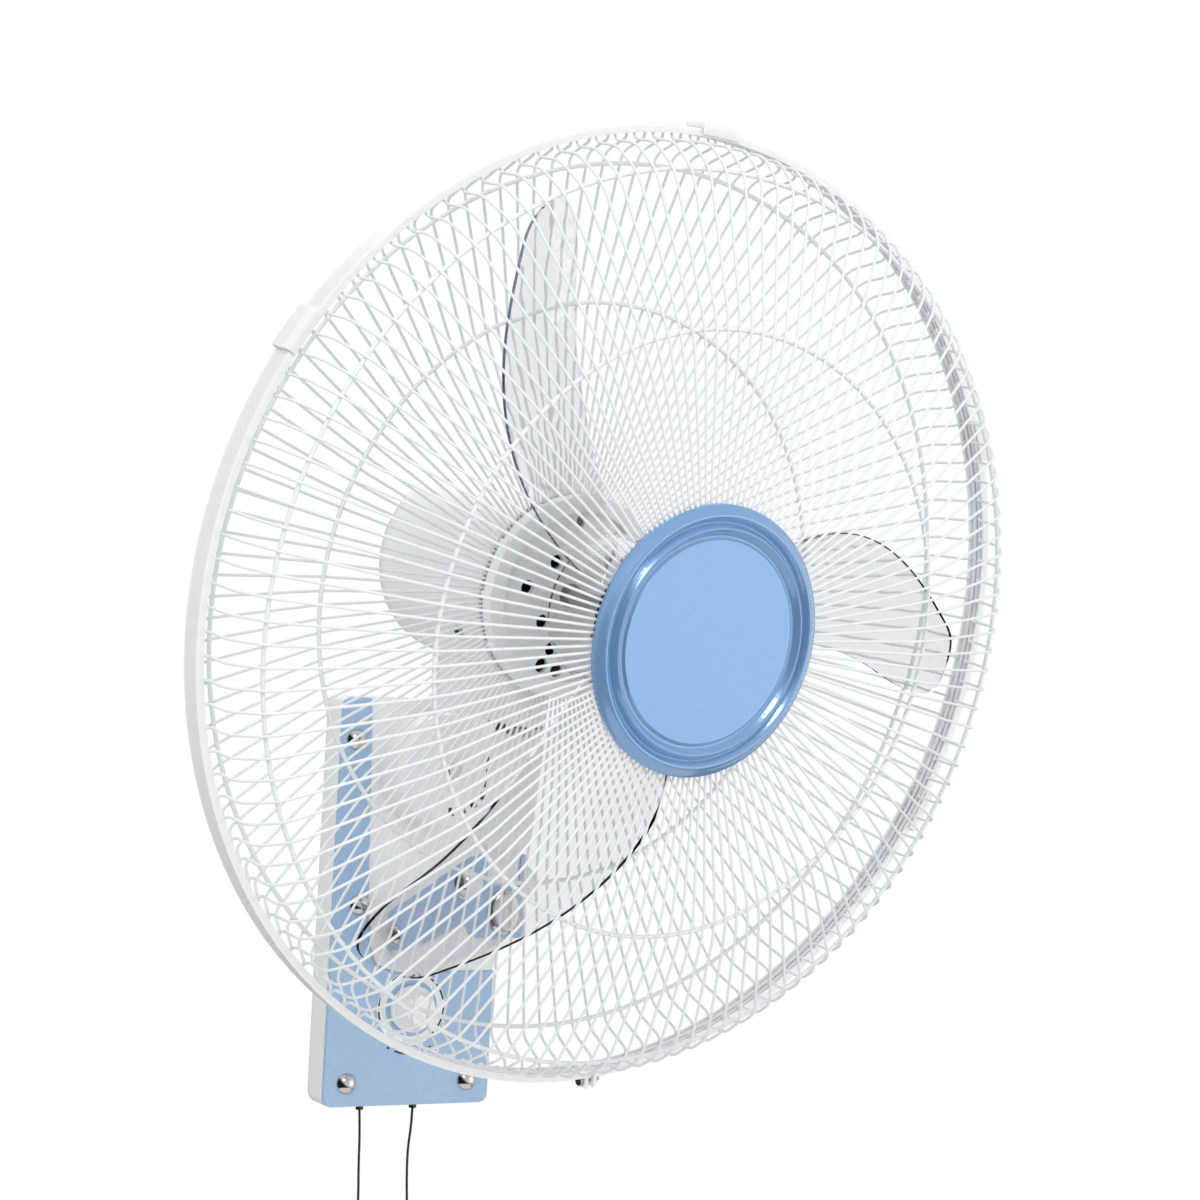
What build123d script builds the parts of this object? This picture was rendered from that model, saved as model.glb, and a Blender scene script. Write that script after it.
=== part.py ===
from build123d import *
import os
from math import cos, radians, sin, tan

# A wall mounted fan. The wall is the plane y = 0 and the fan looks along -Y, with +X to the
# right of someone who faces it. The origin is the middle of the wall bracket, on the wall.
# Lengths are in millimetres and angles in degrees.

# ---- Driving dimensions ----

# Wall bracket
bracket_width = 60.0
bracket_height = 90.0
bracket_thickness = 1.5
wall_screw_spacing = 60.0
wall_screw_hole = 6.0
hook_spread = 44.0          # between the middles of the two hooks
hook_width = 10.0
hook_height = 38.0          # top of the shelf that carries the box
hook_lip = 7.0

# Wall box
base_width = 93.0
base_height = 209.6
base_top = 70.0
base_depth = 26.0
base_wall = 2.0
bottom_wall = 3.6
base_corner = 5.0           # corners seen from the front
base_back_round = 9.0       # back edges at the top and the bottom
cover_thickness = 2.1
cover_depth = 4.05          # front face of the back cover, from the wall
cover_inset = 11.0          # cover edge from the top and bottom of the box
panel_thickness = 2.0
post_radius = 4.0
low_screw_spread = 68.0
low_screw_rise = 12.0       # of the two lowest panel screws, above the box's bottom
high_screw_places = [(-32.0, -36.0), (-38.0, 48.4)]
panel_screw_radius = 2.0
panel_dome_radius = 5.5
panel_dome_height = 3.6
strip_width_top = 16.0      # blue strip left of the arm, at the top
strip_width_low = 19.5      # and at the foot of the arm

# Round coil housing on the box
coil_x = 4.0
coil_z = 35.0
coil_cup_radius = 29.5
coil_cup_depth = 30.0
coil_cup_wall = 2.0
coil_cup_round = 5.0
coil_boss_radius = 5.0
coil_radius = 21.0
coil_depth = 17.0
coil_vents = 7
coil_vent_circle = 20.5
coil_vent_start = -90.0
coil_vent_step = 18.0
coil_vent_length = 4.2
coil_vent_width = 3.4

# Timer and its knob
knob_x = 0.0
knob_z = -89.5
knob_radius = 12.0
knob_height = 13.4
knob_teeth = 8
timer_width = 32.0
timer_height = 29.0
timer_depth = 13.0
timer_bush_radius = 5.0
timer_nut_thickness = 2.2
spindle_radius = 3.0
dial_inner = 14.5
dial_outer = 19.2
dial_thickness = 0.4

# Pull switches, cords and pulls
switch_width = 18.0
switch_depth = 16.0
switch_height = 24.0
switch_floor = 5.0
switch_chamber = 15.0
switch_chamber_radius = 5.0
switch_nose_radius = 4.0
switch_nose = 1.2
switch_from_wall = 14.0
stem_radius = 2.0
stem_collar_radius = 4.6
stem_collar = 2.0
stem_reach = 4.0            # below the bottom of the box
cord_diameter = 1.3
left_cord_points = [(-19.8, -143.65), (-18.8, -157.0), (-18.7, -171.0), (-17.7, -191.0),
                    (-17.9, -215.0), (-18.6, -240.0), (-18.3, -265.0)]
right_cord_points = [(10.3, -143.65), (10.2, -153.0), (8.8, -165.0), (9.1, -180.0),
                     (10.2, -196.0), (10.1, -216.0), (9.5, -240.0), (9.8, -265.0)]
pull_length = 30.0
pull_top_radius = 2.4
pull_bottom_radius = 6.4

# Terminal block, capacitor and cable inlet, all on the back cover
terminal_size = (30.0, 12.0, 16.0)
terminal_place = (16.0, -14.0)
capacitor_size = (36.0, 14.0, 22.0)
capacitor_place = (-8.0, -60.0)
inlet_place = (20.0, 54.0)
inlet_radius = 5.0

# Arm
foot_thickness = 4.0
foot_left = -26.5
foot_right = 46.0
foot_bottom = -70.0
foot_top = -34.0
foot_corner = 18.0
foot_screw_places = [(-16.5, -42.0), (38.0, -42.0), (38.0, -62.0)]
foot_screw_radius = 1.6
arm_width = 34.0
arm_cover_thickness = 2.0
nose_round = 14.0           # plan corners of the arm's end
arm_reach = 89.5            # tilt pivot ahead of the front panel
pivot_height = -15.0
nose_ahead = 10.5           # front of the arm's end ahead of the pivot
nose_top = 1.0
nose_bottom = -41.0
root_top = -40.5
root_bottom = -58.0
heel_bottom = -68.0         # underside of the arm where it meets the foot
bolt_radius = 3.5
cap_radius = 7.0
cap_height = 4.5
root_screw_ahead = 9.2
root_screw_z = -49.5
nose_cap_width = 17.0
nose_cap_height = 23.0
nose_cap_proud = 4.0
nose_cap_z = -28.0

# Neck and head attitude
rest_tilt = 9.6             # nose down at rest
rest_pan = 8.8              # turned towards +X at rest
lug_radius = 8.0
lug_width = 18.0
neck_web = 12.0
neck_offset = 4.2           # pan axis ahead of the tilt pivot
neck_rise = 149.9           # pivot to fan axis along the neck
neck_radius = 12.0
neck_start = 21.0
head_room = 72.1            # top of the neck below the fan axis
bush_length = 30.0
bush_wall = 2.0
post_pin_radius = 6.0
post_below_bush = 4.0

# Swing drive
yoke_thickness = 3.0
yoke_width = 15.0
crank_throw = 17.2
crank_distance = 30.0       # crank centre behind the pan axis
crank_ratio = 2.9           # crank turn per pan turn
crank_pin_radius = 1.8
crank_thickness = 3.0
yoke_play = 1.8             # each side of the pin in its slot
swing_motor_radius = 20.0
swing_motor_height = 12.5
swing_shaft_radius = 2.5
chin_wall = 1.8

# Motor
head_reach = 69.0           # pan axis to the plane of the guard's rim
motor_radius = 47.0
motor_wall = 2.0
motor_front = -48.5         # back of the shoulder that carries the guard
shoulder_thickness = 2.7
face_step = 9.5             # face with the vents ahead of the shoulder's back
face_thickness = 2.5
boss_length = 12.5
motor_split = -66.0
motor_back = -150.0
motor_back_round = 18.0
rear_vents = 14             # radial slots in the flat back
rear_vent_circle = 21.5
rear_vent_length = 11.0
rear_vent_width = 3.0
cover_boss_radius = 44.0
shoulder_radius = 48.8
bearing_outer = 11.0
bearing_inner = 4.0
bearing_width = 7.0
stack_front = -74.0
stack_length = 36.0
stack_bore = 24.2
air_gap = 0.4
winding_length = 8.0
shaft_front = 46.0
shaft_radius = 4.0
housing_screw_angles = [90, 210, 330]
housing_screw_z = -69.5
housing_screw_radius = 1.2
vent_radius = 3.6
vent_spots = [(36, 93), (36, -96), (36, -111), (27, 172), (27, -108), (20, 126), (20, -141),
              (36, 30), (27, 45), (36, -30), (27, -45)]

# Guard
front_wires = 132
rear_wires = 136
wire_diameter = 1.3
ring_diameter = 2.0
belt_front = 6.0
belt_back = -5.0
belt_wall = 1.2
belt_lip = 3.6
belt_gap = 3.0              # between the ears that the clamp screw draws together
ear_height = 6.0
ear_width = 8.0
ear_thickness = 1.6
clamp_screw_radius = 1.2
clamp_head_radius = 2.4
clamp_angle = 274.0
clip_angles = [24.0, 86.0, 148.0, 334.0]
clip_span = 5.4             # degrees of belt that each clip covers
clip_proud = 2.8
guard_radius = 218.2
rim_step = 6.5              # outside of the belt beyond the guard's side
front_bulge_in = 11.0       # bulges stand this far inside the guard's side
rear_bulge_in = 7.5
front_bulge_z = 34.5
front_knee = (138.9, 59.5)
rear_bulge_z = -19.0
rear_knee = (138.0, -40.0)
front_wire_end_radius = 54.0
rear_wire_end_in = 1.5      # gap between the rear wires' ends and the motor's boss

# Badge
badge_radius = 62.4
badge_back = 63.4
badge_rim = 1.8
badge_flat = 12.0           # flat middle of the badge's slightly domed face
badge_plate_radius = 58.0
badge_plate_thickness = 3.0

# Fan blade
hub_radius = 36.0
hub_back = -8.0
hub_front = 34.0
hub_wall = 2.5
hub_boss_radius = 9.0
blade_count = 3
blade_phase = 118.5         # clockwise edge of the first blade
blade_thickness = 2.2
tip_room = 19.5             # blade tip inside the guard's side
nut_radius = 15.0
nut_length = 13.0
drive_pin_radius = 1.5
drive_pin_z = -5.0

# Clearances
seat = 0.1                  # between pieces that sit on each other
fit = 0.2                   # around pieces that slide into place
running = 0.05              # radial, of a shaft in its bore

# ---- Frames ----

wall = Plane.XZ                                     # local x to the right, local y up
base_middle = base_top - base_height / 2
base_bottom = base_top - base_height
panel_front = base_depth + panel_thickness
low_screw_z = base_bottom + low_screw_rise
panel_screw_places = [(-low_screw_spread / 2, low_screw_z), (low_screw_spread / 2, low_screw_z)] + high_screw_places
housing_front = wall.offset(base_depth)
panel_face = wall.offset(panel_front)

pivot = (0, -(panel_front + arm_reach), pivot_height)
tilt_frame = Plane(origin=pivot, x_dir=(1, 0, 0), z_dir=(0, -sin(radians(rest_tilt)), cos(radians(rest_tilt))))
pan_origin = tilt_frame.from_local_coords((0, -neck_offset, neck_rise))
forward = tilt_frame.x_dir * sin(radians(rest_pan)) - tilt_frame.y_dir * cos(radians(rest_pan))
right = tilt_frame.x_dir * cos(radians(rest_pan)) + tilt_frame.y_dir * sin(radians(rest_pan))

# The head's frame has its origin in the middle of the guard's rim and z along the air stream.
head = Plane(origin=pan_origin + forward * head_reach, x_dir=right, z_dir=forward)
head_side = Plane(origin=head.origin, x_dir=head.x_dir, z_dir=-head.y_dir)
head_axis = Axis(head.origin, head.z_dir)
# The pan frame stands on the fan axis above the neck: x right, y to the back, z up the pan axis.
pan_frame = Plane(origin=pan_origin, x_dir=head.x_dir, z_dir=head.y_dir)


def spoke(angle):
    """The half plane through the fan axis at an angle seen from the front: x out, y forward."""
    out = head.x_dir * cos(radians(angle)) + head.y_dir * sin(radians(angle))
    return Plane(origin=head.origin, x_dir=out, z_dir=out.cross(head.z_dir))


def motor_side(angle, z):
    """A plane on the side of the motor at an angle, at a place along the fan axis, facing out."""
    on_side = spoke(angle).from_local_coords((motor_radius, z))
    return Plane(origin=on_side, x_dir=head.z_dir, z_dir=spoke(angle).x_dir)


def below_head(height):
    """A plane square to the pan axis at a height above the tilt pivot."""
    return pan_frame.offset(height - neck_rise)


# ---- Wall bracket: bent steel plate, screwed to the wall, with two hooks that carry the box ----

lip_back = cover_depth + fit
lip_front = lip_back + bracket_thickness
with BuildPart() as wall_bracket:
    with BuildSketch(wall):
        RectangleRounded(bracket_width, bracket_height, 4)
        with GridLocations(0, wall_screw_spacing, 1, 2):
            Circle(wall_screw_hole / 2, mode=Mode.SUBTRACT)
    extrude(amount=bracket_thickness)
    with BuildSketch(wall):
        with Locations((0, hook_height - bracket_thickness / 2)):
            with GridLocations(hook_spread, 0, 2, 1):
                Rectangle(hook_width, bracket_thickness)
    extrude(amount=lip_front)
    with BuildSketch(wall.offset(lip_back)):
        with Locations((0, hook_height + hook_lip / 2)):
            with GridLocations(hook_spread, 0, 2, 1):
                Rectangle(hook_width, hook_lip + 2 * bracket_thickness)
    extrude(amount=bracket_thickness)

# ---- Back cover: moulded plate inside the back of the box, with four posts for the screws ----

post_end = base_depth - base_wall - fit
hook_slot = hook_lip + 2 * bracket_thickness + fit
with BuildPart() as base_back_cover:
    with BuildSketch(wall.offset(cover_depth - cover_thickness)):
        with Locations((0, base_middle)):
            RectangleRounded(base_width - 2 * base_wall - 2 * fit, base_height - 2 * cover_inset - 2 * fit, 3)
        with Locations((0, hook_height + seat - hook_slot / 2)):
            with GridLocations(hook_spread, 0, 2, 1):
                Rectangle(hook_width + 2, hook_slot, mode=Mode.SUBTRACT)
        with GridLocations(0, wall_screw_spacing, 1, 2):
            Circle(wall_screw_hole + 2, mode=Mode.SUBTRACT)
        with Locations(inlet_place):
            Circle(inlet_radius + seat, mode=Mode.SUBTRACT)
    extrude(amount=cover_thickness)
    with BuildSketch(wall.offset(cover_depth)):
        with Locations(panel_screw_places):
            Circle(post_radius)
    extrude(amount=post_end - cover_depth)
    with BuildSketch(wall.offset(post_end)):
        with Locations(panel_screw_places):
            Circle(panel_screw_radius + running)
    extrude(amount=-(post_end - cover_depth - 2), mode=Mode.SUBTRACT)

# ---- Housing: moulded white box, open at the back, with the boss of the coil housing ----

cup_front = base_depth + coil_cup_depth
coil_boss_front = cup_front - coil_cup_wall - seat
with BuildPart() as base_housing:
    with BuildSketch(wall):
        with Locations((0, base_middle)):
            RectangleRounded(base_width, base_height, base_corner)
    extrude(amount=base_depth)
    back_edges = base_housing.edges().filter_by(Axis.X).group_by(Axis.Y)[-1]
    fillet(back_edges, base_back_round)
    with BuildSketch(wall):
        with Locations((0, base_middle)):
            RectangleRounded(base_width - 2 * base_wall, base_height - 2 * cover_inset, 3)
    extrude(amount=base_depth - base_wall, mode=Mode.SUBTRACT)
    with BuildSketch(wall.offset(cover_depth - running)):
        with Locations((0, base_middle)):
            RectangleRounded(base_width - 2 * base_wall, base_height - 2 * bottom_wall, 3)
    extrude(amount=base_depth - base_wall - cover_depth + running, mode=Mode.SUBTRACT)
    with BuildSketch(housing_front):
        with Locations((coil_x, coil_z)):
            Circle(coil_boss_radius)
    extrude(amount=coil_boss_front - base_depth)
    with BuildSketch(wall.offset(coil_boss_front)):
        with Locations((coil_x, coil_z)):
            Circle(panel_screw_radius + running)
    extrude(amount=-15, mode=Mode.SUBTRACT)
    with BuildSketch(housing_front):
        with Locations(panel_screw_places):
            Circle(panel_screw_radius + fit)
        with Locations((knob_x, knob_z)):
            Circle(timer_bush_radius + fit)
        with Locations((coil_x - 15, coil_z), (0, (root_top + root_bottom) / 2)):
            Circle(4)
        with Locations(foot_screw_places):
            Circle(foot_screw_radius + fit)
    extrude(amount=-base_wall, mode=Mode.SUBTRACT)
    with BuildSketch(Plane.XY.offset(base_bottom)):
        with Locations((left_cord_points[0][0], -switch_from_wall), (right_cord_points[0][0], -switch_from_wall)):
            Circle(switch_nose_radius + fit)
    extrude(amount=bottom_wall, mode=Mode.SUBTRACT)

# ---- Front panel: blue plastic sheet, cut round the arm's foot and the white part of the box ----

half_width = base_width / 2
with BuildPart() as front_panel:
    with BuildSketch(housing_front):
        with BuildLine():
            FilletPolyline(
                (-half_width, base_top),
                (-half_width + strip_width_top, base_top),
                (foot_left - fit, foot_top),
                (foot_left - fit, foot_bottom - fit),
                (half_width, foot_bottom - fit),
                (half_width, base_bottom),
                (-half_width, base_bottom),
                radius=[base_corner, 1, 40, foot_corner + fit, 1, base_corner, base_corner],
                close=True,
            )
        make_face()
        with Locations(panel_screw_places):
            Circle(panel_screw_radius + fit, mode=Mode.SUBTRACT)
        with Locations((knob_x, knob_z)):
            Circle(timer_bush_radius + fit, mode=Mode.SUBTRACT)
    extrude(amount=panel_thickness)
    chamfer(front_panel.faces().sort_by(Axis.Y)[0].outer_wire().edges(), 0.5)

# ---- Panel screws: chrome dome-headed machine screws into the posts of the back cover ----

dome_ball = (panel_dome_radius**2 + panel_dome_height**2) / (2 * panel_dome_height)
with BuildPart() as one_panel_screw:
    with BuildSketch(Plane.XZ):
        with BuildLine():
            Line((0, 0), (panel_dome_radius, 0))
            RadiusArc((panel_dome_radius, 0), (0, panel_dome_height), -dome_ball)
            Line((0, panel_dome_height), (0, 0))
        make_face()
    revolve(axis=Axis.Z)
    with BuildSketch():
        Circle(panel_screw_radius)
    extrude(amount=-(panel_front - cover_depth - 6))

with BuildPart(panel_face) as panel_screws:
    with Locations(panel_screw_places):
        add(one_panel_screw.part)

# ---- Coil housing: round white cup with a ring of vents, over the speed coil ----

with BuildPart() as coil_housing:
    with BuildSketch(housing_front):
        with Locations((coil_x, coil_z)):
            Circle(coil_cup_radius)
    extrude(amount=coil_cup_depth)
    fillet(coil_housing.faces().sort_by(Axis.Y)[0].edges(), coil_cup_round)
    with BuildSketch(housing_front):
        with Locations((coil_x, coil_z)):
            Circle(coil_cup_radius - coil_cup_wall)
    extrude(amount=coil_cup_depth - coil_cup_wall, mode=Mode.SUBTRACT)
    with BuildSketch(wall.offset(cup_front)):
        with Locations((coil_x, coil_z)):
            Circle(panel_screw_radius + fit)
    extrude(amount=-coil_cup_wall, mode=Mode.SUBTRACT)
    with BuildSketch(wall.offset(cup_front)):
        with Locations((coil_x, coil_z)):
            with PolarLocations(coil_vent_circle, coil_vents, coil_vent_start, coil_vents * coil_vent_step):
                Rectangle(coil_vent_length, coil_vent_width)
    extrude(amount=-2 * coil_cup_wall, mode=Mode.SUBTRACT)

with BuildPart() as coil_screw:
    with BuildSketch(wall.offset(cup_front)):
        with Locations((coil_x, coil_z)):
            Circle(2 * panel_screw_radius)
    extrude(amount=2)
    chamfer(coil_screw.faces().sort_by(Axis.Y)[0].edges(), 0.8)
    with BuildSketch(wall.offset(cup_front)):
        with Locations((coil_x, coil_z)):
            Circle(panel_screw_radius)
    extrude(amount=-14)

with BuildPart() as speed_coil:
    with BuildSketch(wall.offset(base_depth + seat)):
        with Locations((coil_x, coil_z)):
            Circle(coil_radius)
            Circle(coil_boss_radius + fit, mode=Mode.SUBTRACT)
    extrude(amount=coil_depth)
    fillet(speed_coil.edges().filter_by(GeomType.CIRCLE).group_by(SortBy.RADIUS)[-1], 4)

# ---- Terminal block, capacitor and cable inlet on the back cover ----

with BuildPart() as terminal_block:
    with BuildSketch(wall.offset(cover_depth + seat)):
        with Locations(terminal_place):
            Rectangle(terminal_size[0], terminal_size[2])
    extrude(amount=terminal_size[1])
    with BuildSketch(wall.offset(cover_depth + seat + terminal_size[1])):
        with Locations(terminal_place):
            with GridLocations(terminal_size[0] / 3, terminal_size[2] / 2, 3, 2):
                Circle(1.8)
    extrude(amount=-4, mode=Mode.SUBTRACT)

with BuildPart() as capacitor:
    with BuildSketch(wall.offset(cover_depth + seat)):
        with Locations(capacitor_place):
            RectangleRounded(capacitor_size[0], capacitor_size[2], 2)
    extrude(amount=capacitor_size[1])

with BuildPart() as cable_inlet:
    with BuildSketch(wall.offset(bracket_thickness + fit)):
        with Locations(inlet_place):
            Circle(inlet_radius)
    extrude(amount=cover_depth - bracket_thickness - fit + seat)
    with BuildSketch(wall.offset(cover_depth + seat)):
        with Locations(inlet_place):
            Circle(inlet_radius + 2)
    extrude(amount=2)
    with BuildSketch(wall):
        with Locations(inlet_place):
            Circle(inlet_radius - 1.5)
    extrude(amount=10, mode=Mode.SUBTRACT)

# ---- Timer: case behind the front wall, threaded bush, nut, spindle, dial ring and knob ----

knob_plane = Plane(origin=(knob_x, 0, knob_z), x_dir=(1, 0, 0), z_dir=(0, -1, 0))
timer_back = base_depth - base_wall - seat - timer_depth
nut_front = panel_front + seat + timer_nut_thickness
knob_back = panel_front + dial_thickness + fit
knob_front = knob_back + knob_height
with BuildPart() as timer_case:
    with BuildSketch(knob_plane.offset(timer_back)):
        RectangleRounded(timer_width, timer_height, 3)
    extrude(amount=timer_depth)
    with BuildSketch(knob_plane.offset(timer_back + timer_depth)):
        Circle(timer_bush_radius)
    extrude(amount=nut_front - timer_back - timer_depth)
    with BuildSketch(knob_plane.offset(timer_back + 2)):
        Circle(spindle_radius + running)
    extrude(amount=nut_front - timer_back, mode=Mode.SUBTRACT)

with BuildPart() as timer_nut:
    with BuildSketch(knob_plane.offset(panel_front + seat)):
        RegularPolygon(timer_bush_radius + 3, 6)
        Circle(timer_bush_radius + running, mode=Mode.SUBTRACT)
    extrude(amount=timer_nut_thickness)

with BuildPart() as dial_ring:
    with BuildSketch(knob_plane.offset(panel_front)):
        Circle(dial_outer)
        Circle(dial_inner, mode=Mode.SUBTRACT)
    extrude(amount=dial_thickness)

with BuildPart() as timer_spindle:
    with BuildSketch(knob_plane.offset(timer_back + 2 + fit)):
        Circle(spindle_radius)
    extrude(amount=knob_front - 2 - timer_back - 2 - fit)

with BuildPart() as control_knob:
    with BuildSketch(knob_plane.offset(knob_back)):
        Circle(knob_radius)
    extrude(amount=3)
    with BuildSketch(knob_plane.offset(knob_back + 3)):
        with BuildLine():
            ridge = [PolarLine((0, 0), knob_radius - 0.6, 360 / knob_teeth * i, mode=Mode.PRIVATE) @ 1
                     for i in range(knob_teeth)]
            valley = [PolarLine((0, 0), knob_radius - 3, 360 / knob_teeth * (i + 0.75), mode=Mode.PRIVATE) @ 1
                      for i in range(knob_teeth)]
            Polyline(*[point for pair in zip(ridge, valley) for point in pair], close=True)
        make_face()
    extrude(amount=knob_height - 3, taper=9)
    with BuildSketch(knob_plane.offset(knob_back)):
        Circle(timer_bush_radius + 3 + fit)
    extrude(amount=nut_front + fit - knob_back, mode=Mode.SUBTRACT)
    with BuildSketch(knob_plane.offset(knob_back)):
        Circle(spindle_radius)
    extrude(amount=knob_front - 2 - knob_back, mode=Mode.SUBTRACT)

# ---- Pull switches: case inside the box, with the stem that its cord pulls down ----

switch_bottom = base_bottom + bottom_wall + seat
chamber_bottom = switch_bottom + switch_floor
chamber_top = chamber_bottom + switch_chamber
stem_bottom = base_bottom - stem_reach


def pull_stem(x):
    """The stem of one pull switch, with the collar that stops it in the case."""
    with BuildPart() as stem:
        with BuildSketch(Plane.XY.offset(stem_bottom)):
            with Locations((x, -switch_from_wall)):
                Circle(stem_radius)
        extrude(amount=chamber_top - seat - stem_bottom)
        with BuildSketch(Plane.XY.offset(chamber_top - seat)):
            with Locations((x, -switch_from_wall)):
                Circle(stem_collar_radius)
        extrude(amount=-stem_collar)
    return stem


def pull_cord(points):
    """One cord: straight runs joined by arcs as large as the runs allow."""
    runs = [Vector(*after) - Vector(*before) for before, after in zip(points, points[1:])]
    radii = [
        0.45 * min(before.length, after.length) / tan(radians(before.get_angle(after)) / 2)
        for before, after in zip(runs, runs[1:])
    ]
    print("cord radii:", [round(radius) for radius in radii])
    with BuildPart() as cord:
        with BuildLine(wall.offset(switch_from_wall)) as route:
            FilletPolyline(*points, radius=radii)
        with BuildSketch(Plane(origin=route.line @ 0, z_dir=route.line % 0)):
            Circle(cord_diameter / 2)
        sweep()
    length = sum(edge.length for edge in route.edges())
    print("cord length:", round(length, 1), "volume share:",
          round(cord.part.volume / (length * 3.14159 * cord_diameter**2 / 4), 4))
    return cord


def cord_pull(end):
    """The bell-shaped pull that hangs on the end of a cord."""
    top = end[1] - running
    with BuildPart() as pull:
        with BuildSketch(Plane(origin=(end[0], -switch_from_wall, top), x_dir=(1, 0, 0), z_dir=(0, -1, 0))):
            with BuildLine():
                Polyline((0, 0), (pull_top_radius, 0), (pull_top_radius, -pull_length / 4))
                Spline(
                    (pull_top_radius, -pull_length / 4),
                    (pull_bottom_radius, -pull_length),
                    tangents=[(0, -1), (0.3, -1)],
                )
                Polyline((pull_bottom_radius, -pull_length), (0, -pull_length), (0, 0))
            make_face()
        revolve(axis=Axis((end[0], -switch_from_wall, top), (0, 0, -1)))
    return pull


left_x = left_cord_points[0][0]
right_x = right_cord_points[0][0]
switch_places = [(left_x, -switch_from_wall), (right_x, -switch_from_wall)]
with BuildPart() as pull_switches:
    with BuildSketch(Plane.XY.offset(switch_bottom)):
        with Locations(switch_places):
            Rectangle(switch_width, switch_depth)
    extrude(amount=switch_height)
    with BuildSketch(Plane.XY.offset(base_bottom - switch_nose)):
        with Locations(switch_places):
            Circle(switch_nose_radius)
    extrude(amount=switch_bottom - base_bottom + switch_nose)
    with BuildSketch(Plane.XY.offset(base_bottom - switch_nose)):
        with Locations(switch_places):
            Circle(stem_radius + running)
    extrude(amount=chamber_bottom - base_bottom + switch_nose, mode=Mode.SUBTRACT)
    with BuildSketch(Plane.XY.offset(chamber_bottom)):
        with Locations(switch_places):
            Circle(switch_chamber_radius)
    extrude(amount=switch_chamber, mode=Mode.SUBTRACT)

pull_stem_left = pull_stem(left_x)
pull_stem_right = pull_stem(right_x)
pull_cord_left = pull_cord(left_cord_points)
pull_cord_right = pull_cord(right_cord_points)
cord_pull_left = cord_pull(left_cord_points[-1])
cord_pull_right = cord_pull(right_cord_points[-1])

# ---- Arm: white casting with a foot, slotted at its end for the neck ----

pivot_depth = panel_front + arm_reach
nose_front = pivot_depth + nose_ahead
core_front = nose_front - arm_cover_thickness
core_half = arm_width / 2 - arm_cover_thickness
slot_half = lug_width / 2 + fit
tilt_axis_plane = Plane(origin=pivot, x_dir=(0, 1, 0), z_dir=(1, 0, 0))


def ahead(depth, z):
    """A point of the arm's side view, from its depth in front of the wall."""
    return (-depth, z)


with BuildPart() as arm:
    with BuildSketch(housing_front):
        with BuildLine():
            FilletPolyline(
                (foot_left, foot_top),
                (foot_right, foot_top),
                (foot_right, foot_bottom),
                (foot_left, foot_bottom),
                radius=[4, 4, 4, foot_corner],
                close=True,
            )
        make_face()
    extrude(amount=foot_thickness)
    with BuildSketch(Plane.YZ):
        with BuildLine():
            Polyline(
                ahead(base_depth + 1, root_top),
                ahead(panel_front, root_top),
                ahead(core_front, nose_top),
                ahead(core_front, nose_bottom),
                ahead(core_front - 10, nose_bottom),
                ahead(panel_front, heel_bottom),
                ahead(base_depth + 1, heel_bottom),
                close=True,
            )
        make_face()
    extrude(amount=core_half, both=True)
    nose_edges = arm.edges().filter_by(Axis.Z).group_by(Axis.Y)[0]
    fillet(nose_edges, nose_round - arm_cover_thickness)
    with BuildSketch(Plane.YZ):
        with BuildLine():
            Polyline(
                ahead(pivot_depth - lug_radius - 1, pivot_height),
                ahead(pivot_depth - lug_radius - 1, nose_top + 20),
                ahead(nose_front + 1, nose_top + 20),
                ahead(nose_front + 1, pivot_height),
                close=True,
            )
        make_face()
        with Locations(ahead(pivot_depth, pivot_height)):
            Circle(lug_radius + 2 * fit)
    extrude(amount=slot_half, both=True, mode=Mode.SUBTRACT)
    with BuildSketch(tilt_axis_plane):
        Circle(cap_radius + 1)
    extrude(amount=arm_width / 2 + 0.6, both=True)
    with BuildSketch(tilt_axis_plane):
        Circle(lug_radius + 2 * fit)
    extrude(amount=slot_half, both=True, mode=Mode.SUBTRACT)
    with BuildSketch(Plane.YZ):
        with BuildLine():
            Polyline(
                ahead(pivot_depth - lug_radius - 1, pivot_height),
                ahead(pivot_depth - lug_radius - 1, nose_top + 20),
                ahead(nose_front + 1, nose_top + 20),
                ahead(nose_front + 1, pivot_height),
                close=True,
            )
        make_face()
    extrude(amount=slot_half, both=True, mode=Mode.SUBTRACT)
    with BuildSketch(tilt_axis_plane):
        Circle(bolt_radius + running)
    extrude(amount=arm_width, both=True, mode=Mode.SUBTRACT)
    with BuildSketch(Plane.YZ):
        with Locations(ahead(panel_front + root_screw_ahead, root_screw_z)):
            Circle(panel_screw_radius + running)
    extrude(amount=arm_width, both=True, mode=Mode.SUBTRACT)
    with BuildSketch(housing_front):
        with Locations(foot_screw_places):
            Circle(foot_screw_radius + running)
    extrude(amount=foot_thickness - 1, mode=Mode.SUBTRACT)

# ---- Arm cover: blue plastic wrap round the sides and the end of the arm ----

with BuildPart() as core_room:
    with BuildSketch(Plane.YZ):
        with BuildLine():
            Polyline(
                ahead(0, nose_top + 20),
                ahead(core_front + seat, nose_top + 20),
                ahead(core_front + seat, nose_bottom - 40),
                ahead(0, nose_bottom - 40),
                close=True,
            )
        make_face()
    extrude(amount=core_half + seat, both=True)
    fillet(core_room.edges().filter_by(Axis.Z).group_by(Axis.Y)[0], nose_round - arm_cover_thickness + seat)

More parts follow.
